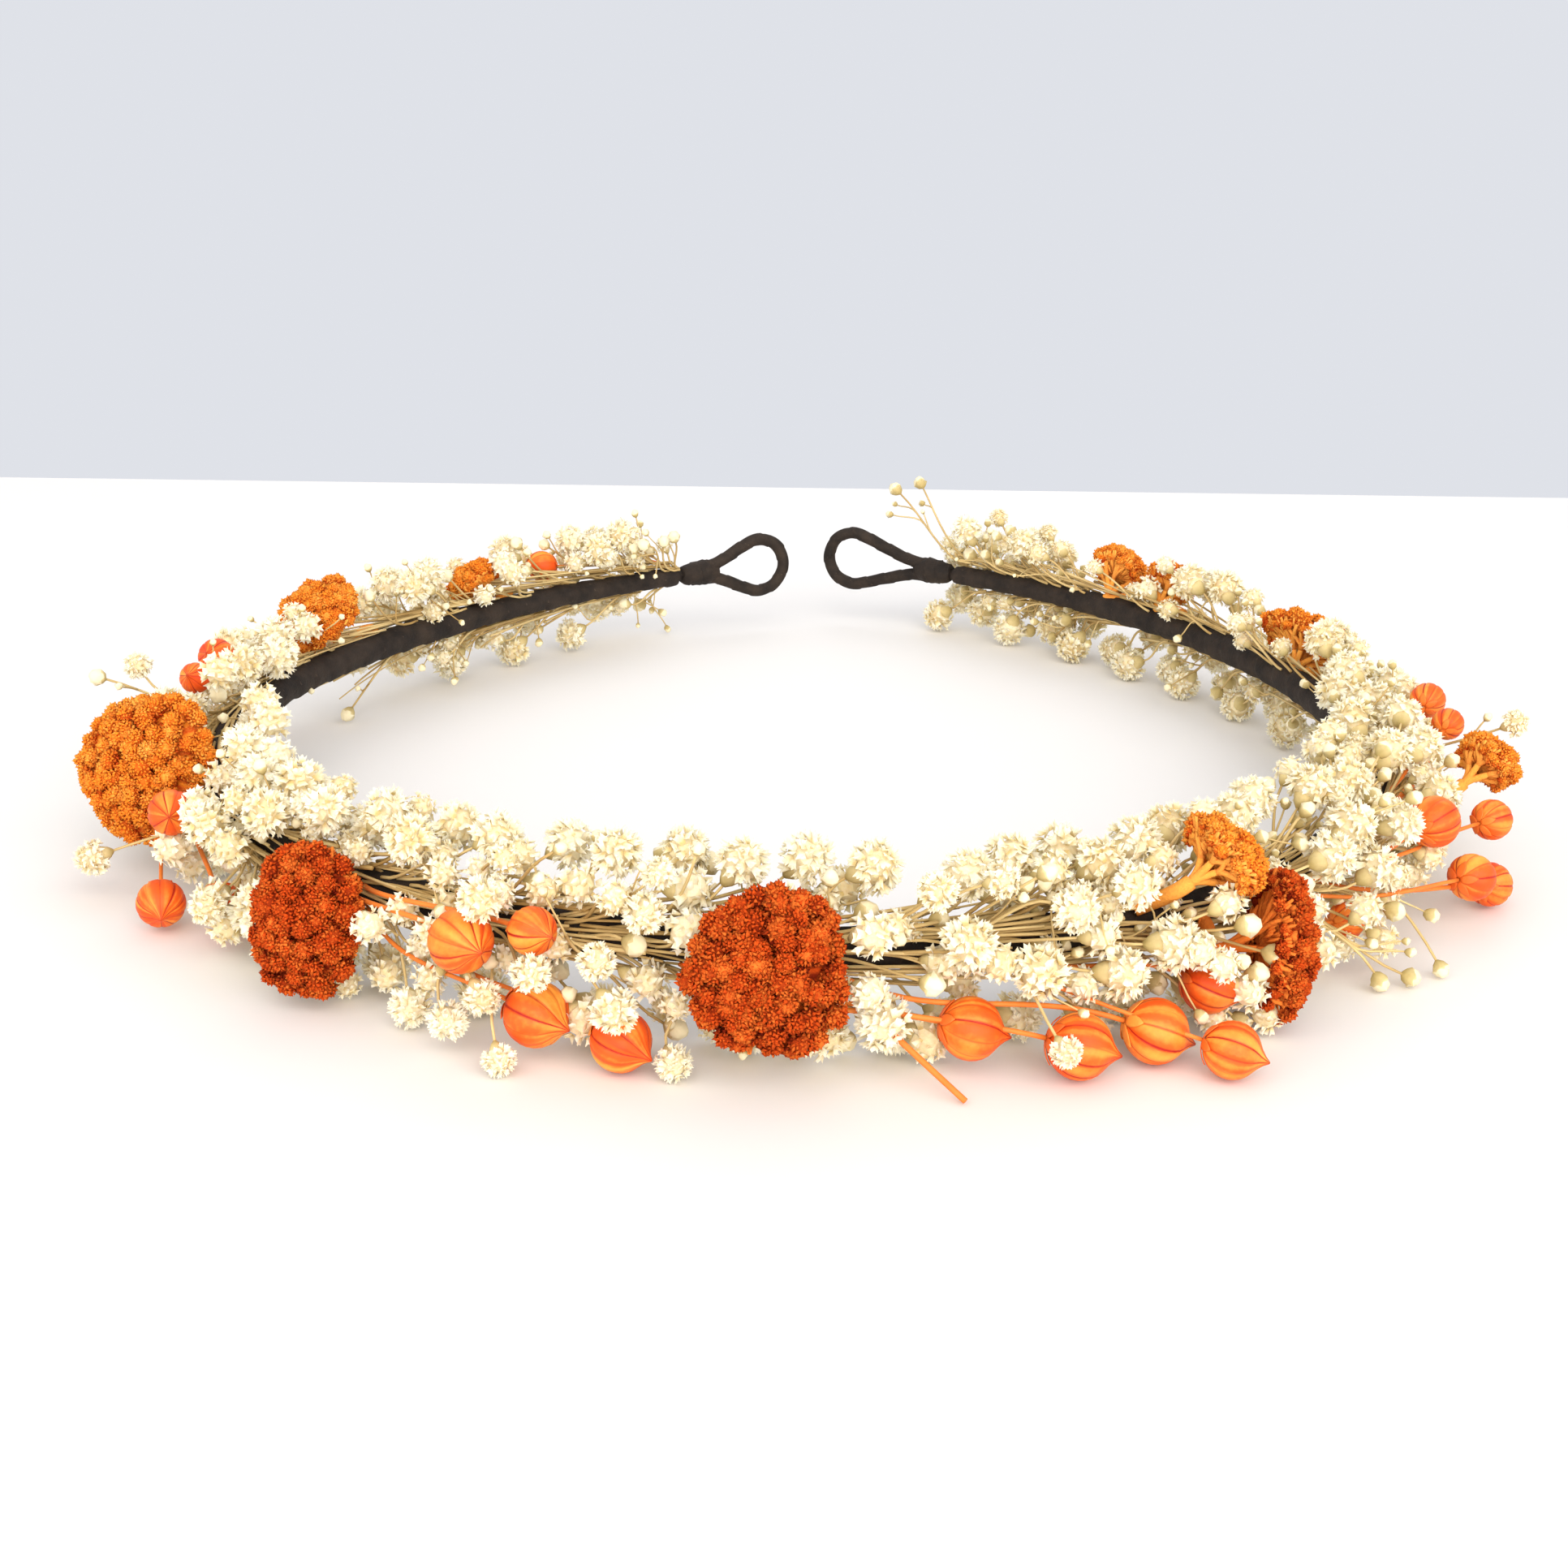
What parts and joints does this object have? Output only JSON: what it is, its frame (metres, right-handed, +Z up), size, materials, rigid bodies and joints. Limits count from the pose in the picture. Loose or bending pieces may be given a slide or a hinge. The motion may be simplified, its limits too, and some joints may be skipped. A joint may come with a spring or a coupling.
{
  "type": "dried flower crown",
  "caption": "Open half-wreath hair crown of dyed yarrow, flax seed bolls and gypsophila bound to a tape-wrapped wire ring, with a ribbon loop at each end.",
  "frame": {"origin": "middle of the plan's outer box, on the ground under the lowest flowers", "axes": "+Z up through the head opening, -Y towards the front of the crown, the two ribbon loops at +Y"},
  "size_m": [0.2096, 0.2263, 0.0315],
  "materials": {
    "florist_tape": "matt dark brown crepe tape",
    "yarrow_rust": "matt, granular dried flower head",
    "yarrow_orange": "matt, granular dried flower head",
    "flax_orange": "satin dyed seed case",
    "gypsophila_cream": "matt dried petals"
  },
  "bodies": {
    "root": {"band": "florist_tape", "ribbon_loop_left": "florist_tape", "ribbon_loop_right": "florist_tape", "yarrow_1": "yarrow_orange", "yarrow_2": "yarrow_rust", "yarrow_3": "yarrow_rust", "yarrow_4": "yarrow_rust", "yarrow_5": "yarrow_orange", "yarrow_6": "yarrow_orange", "yarrow_7": "yarrow_orange", "yarrow_8": "yarrow_orange", "yarrow_9": "yarrow_orange", "yarrow_10": "yarrow_orange", "yarrow_11": "yarrow_orange", "flax_boll_1": "flax_orange", "flax_boll_2": "flax_orange", "flax_boll_3": "flax_orange", "flax_boll_4": "flax_orange", "flax_boll_5": "flax_orange", "flax_boll_6": "flax_orange", "flax_boll_7": "flax_orange", "flax_boll_8": "flax_orange", "flax_boll_9": "flax_orange", "flax_boll_10": "flax_orange", "flax_boll_11": "flax_orange", "flax_boll_12": "flax_orange", "flax_boll_13": "flax_orange", "flax_boll_14": "flax_orange", "flax_boll_15": "flax_orange", "flax_boll_16": "flax_orange", "flax_boll_17": "flax_orange", "flax_boll_18": "flax_orange", "flax_boll_19": "flax_orange", "flax_boll_20": "flax_orange", "flax_boll_21": "flax_orange", "flax_boll_22": "flax_orange", "gypsophila_1": "gypsophila_cream", "gypsophila_2": "gypsophila_cream", "gypsophila_3": "gypsophila_cream", "gypsophila_4": "gypsophila_cream", "gypsophila_5": "gypsophila_cream", "gypsophila_6": "gypsophila_cream", "gypsophila_7": "gypsophila_cream", "gypsophila_8": "gypsophila_cream", "gypsophila_9": "gypsophila_cream", "gypsophila_10": "gypsophila_cream", "gypsophila_11": "gypsophila_cream", "gypsophila_12": "gypsophila_cream", "gypsophila_13": "gypsophila_cream", "gypsophila_14": "gypsophila_cream", "gypsophila_15": "gypsophila_cream", "gypsophila_16": "gypsophila_cream", "gypsophila_17": "gypsophila_cream", "gypsophila_18": "gypsophila_cream"}
  },
  "joints": []
}
